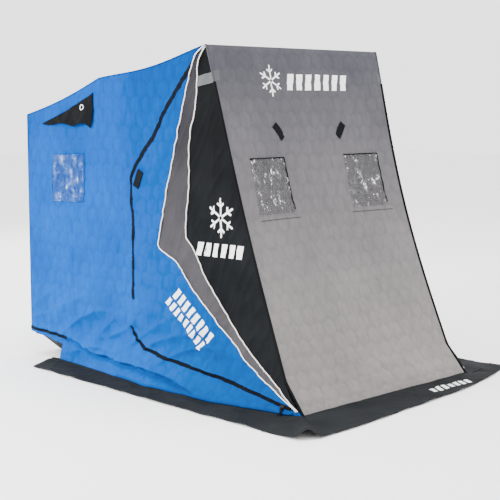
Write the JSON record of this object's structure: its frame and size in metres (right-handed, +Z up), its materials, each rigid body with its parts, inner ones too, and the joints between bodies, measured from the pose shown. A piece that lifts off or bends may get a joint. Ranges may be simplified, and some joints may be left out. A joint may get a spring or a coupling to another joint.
{
  "type": "ice fishing shelter",
  "caption": "Flip-over ice fishing shelter: insulated tent on four telescoping bows that fan out of a hub on a sled with swivel seats.",
  "frame": {"origin": "centre of the bounding box, on the ice", "axes": "+Y from the front wall to the rear wall, +Z up, +X to the right seen from the front"},
  "size_m": [2.18, 2.885, 2.0918],
  "materials": {
    "blue_fabric": "quilted insulated polyester, hexagon stitch",
    "grey_fabric": "quilted insulated polyester, hexagon stitch",
    "black_fabric": "coated woven polyester",
    "skirt_fabric": "heavy coated woven polyester",
    "clear_window": "clear flexible vinyl",
    "black_plastic": "roto-moulded polyethylene",
    "aluminium": "mill-finish tube",
    "zinc_steel": "zinc plated",
    "seat_cloth": "woven seat cover over foam"
  },
  "bodies": {
    "sled": {"sled": "black_plastic", "fabric_rail": "black_plastic", "end_deck_left": "black_plastic", "end_deck_right": "black_plastic", "hub_bracket_left": "zinc_steel", "hub_bracket_right": "zinc_steel", "hub_bolt_left": "zinc_steel", "hub_bolt_right": "zinc_steel", "seat_rail_front": "aluminium", "seat_rail_rear": "aluminium", "rear_wall": "blue_fabric", "side_wall_left": "blue_fabric", "side_wall_right": "blue_fabric", "side_window_left": "clear_window", "side_window_right": "clear_window", "side_skirt_left": "skirt_fabric", "side_skirt_right": "skirt_fabric", "sled_flap_left": "blue_fabric", "sled_flap_right": "blue_fabric"},
    "rear_bow": {"rear_leg_left": "aluminium", "rear_leg_right": "aluminium"},
    "rear_crossbar": {"rear_bar": "aluminium", "rear_snap_button_left": "zinc_steel", "rear_snap_button_right": "zinc_steel"},
    "mid_bow": {"mid_leg_left": "aluminium", "mid_leg_right": "aluminium", "roof_rear": "blue_fabric"},
    "mid_crossbar": {"mid_bar": "aluminium", "mid_snap_button_left": "zinc_steel", "mid_snap_button_right": "zinc_steel"},
    "peak_bow": {"peak_leg_left": "aluminium", "peak_leg_right": "aluminium", "roof_front": "blue_fabric"},
    "peak_crossbar": {"peak_bar": "aluminium", "peak_snap_button_left": "zinc_steel", "peak_snap_button_right": "zinc_steel"},
    "front_bow": {"front_leg_left": "aluminium", "front_leg_right": "aluminium", "front_wall": "grey_fabric", "front_wall_foot": "grey_fabric", "front_skirt": "skirt_fabric", "front_window_left": "clear_window", "front_window_right": "clear_window"},
    "front_crossbar": {"front_bar": "aluminium", "front_snap_button_left": "zinc_steel", "front_snap_button_right": "zinc_steel"},
    "door_left": {"door_left": "blue_fabric", "door_panel_left": "black_fabric"},
    "vent_left": {"vent_flap_left": "black_fabric"},
    "zip_left": {"zip_slider_left": "zinc_steel"},
    "carriage_left": {"seat_carriage_left": "black_plastic"},
    "pan_left": {"seat_pan_left": "seat_cloth"},
    "backrest_left": {"seat_back_left": "seat_cloth"},
    "door_right": {"door_right": "blue_fabric", "door_panel_right": "black_fabric"},
    "vent_right": {"vent_flap_right": "black_fabric"},
    "zip_right": {"zip_slider_right": "zinc_steel"},
    "carriage_right": {"seat_carriage_right": "black_plastic"},
    "pan_right": {"seat_pan_right": "seat_cloth"},
    "backrest_right": {"seat_back_right": "seat_cloth"}
  },
  "joints": [
    {"name": "rear_bow_fold", "type": "hinge", "parent": "sled", "child": "rear_bow", "pos_m": [0, 1.04, 0.42], "axis": [-1, 0, 0], "range_deg": [0, 81.41], "deforming": ["side_wall_left", "side_wall_right", "rear_wall", "side_window_left", "side_window_right", "side_skirt_left", "side_skirt_right", "sled_flap_left", "sled_flap_right"]},
    {"name": "mid_bow_fold", "type": "hinge", "parent": "rear_bow", "child": "mid_bow", "pos_m": [0, 1.04, 0.42], "axis": [-1, 0, 0], "range_deg": [0, 27.91], "deforming": ["roof_rear"]},
    {"name": "peak_bow_fold", "type": "hinge", "parent": "mid_bow", "child": "peak_bow", "pos_m": [0, 1.04, 0.42], "axis": [-1, 0, 0], "range_deg": [0, 21.52], "deforming": ["roof_front"]},
    {"name": "front_bow_fold", "type": "hinge", "parent": "peak_bow", "child": "front_bow", "pos_m": [0, 1.04, 0.42], "axis": [-1, 0, 0], "range_deg": [0, 52.17], "deforming": ["front_wall", "front_wall_foot", "front_skirt", "front_window_left", "front_window_right", "door_left", "door_right", "door_panel_left", "door_panel_right", "vent_flap_left", "vent_flap_right"]},
    {"name": "rear_bow_telescope", "type": "slide", "parent": "rear_bow", "child": "rear_crossbar", "axis": [0, 0.2856, 0.9584], "range_m": [-0.52, 0], "deforming": ["rear_snap_button_left", "rear_snap_button_right"]},
    {"name": "mid_bow_telescope", "type": "slide", "parent": "mid_bow", "child": "mid_crossbar", "axis": [0, -0.2634, 0.9647], "range_m": [-0.63, 0], "deforming": ["mid_snap_button_left", "mid_snap_button_right"]},
    {"name": "peak_bow_telescope", "type": "slide", "parent": "peak_bow", "child": "peak_crossbar", "axis": [0, -0.6527, 0.7576], "range_m": [-0.95, 0], "deforming": ["peak_snap_button_left", "peak_snap_button_right"]},
    {"name": "front_bow_telescope", "type": "slide", "parent": "front_bow", "child": "front_crossbar", "axis": [0, -0.9928, -0.1195], "range_m": [-0.9, 0], "deforming": ["front_snap_button_left", "front_snap_button_right"]},
    {"name": "door_left_open", "type": "hinge", "parent": "front_bow", "child": "door_left", "pos_m": [-0.785, -1.025, 0.18], "axis": [0, -0.3199, -0.9474], "range_deg": [-110, 0]},
    {"name": "vent_left_open", "type": "hinge", "parent": "mid_bow", "child": "vent_left", "pos_m": [-0.7895, 1.26, 1.636], "axis": [0, -0.9461, 0.3237], "range_deg": [-35, 0]},
    {"name": "zip_left_run", "type": "slide", "parent": "front_bow", "child": "zip_left", "axis": [0, 0.9914, 0.1307], "range_m": [0, 0.4]},
    {"name": "seat_left_slide", "type": "slide", "parent": "sled", "child": "carriage_left", "axis": [1, 0, 0], "range_m": [0, 0.1]},
    {"name": "seat_left_swivel", "type": "hinge", "parent": "carriage_left", "child": "pan_left", "pos_m": [-0.33, 0.91, 0.455], "axis": [0, 0, 1], "continuous": true},
    {"name": "seat_left_back_fold", "type": "hinge", "parent": "pan_left", "child": "backrest_left", "pos_m": [-0.33, 1.112, 0.5363], "axis": [1, 0, 0], "range_deg": [0, 88]},
    {"name": "door_right_open", "type": "hinge", "parent": "front_bow", "child": "door_right", "pos_m": [0.785, -1.025, 0.18], "axis": [0, 0.3199, 0.9474], "range_deg": [-110, 0]},
    {"name": "vent_right_open", "type": "hinge", "parent": "mid_bow", "child": "vent_right", "pos_m": [0.7895, 1.26, 1.636], "axis": [0, 0.9461, -0.3237], "range_deg": [-35, 0]},
    {"name": "zip_right_run", "type": "slide", "parent": "front_bow", "child": "zip_right", "axis": [0, 0.9914, 0.1307], "range_m": [0, 0.4]},
    {"name": "seat_right_slide", "type": "slide", "parent": "sled", "child": "carriage_right", "axis": [-1, 0, 0], "range_m": [0, 0.1]},
    {"name": "seat_right_swivel", "type": "hinge", "parent": "carriage_right", "child": "pan_right", "pos_m": [0.33, 0.91, 0.455], "axis": [0, 0, 1], "continuous": true},
    {"name": "seat_right_back_fold", "type": "hinge", "parent": "pan_right", "child": "backrest_right", "pos_m": [0.33, 1.112, 0.5363], "axis": [1, 0, 0], "range_deg": [0, 88]}
  ],
  "couplings": [
    {"joint": "mid_bow_fold", "follows": "rear_bow_fold", "ratio": 0.34227},
    {"joint": "peak_bow_fold", "follows": "rear_bow_fold", "ratio": 0.26379},
    {"joint": "front_bow_fold", "follows": "rear_bow_fold", "ratio": 0.64022}
  ]
}
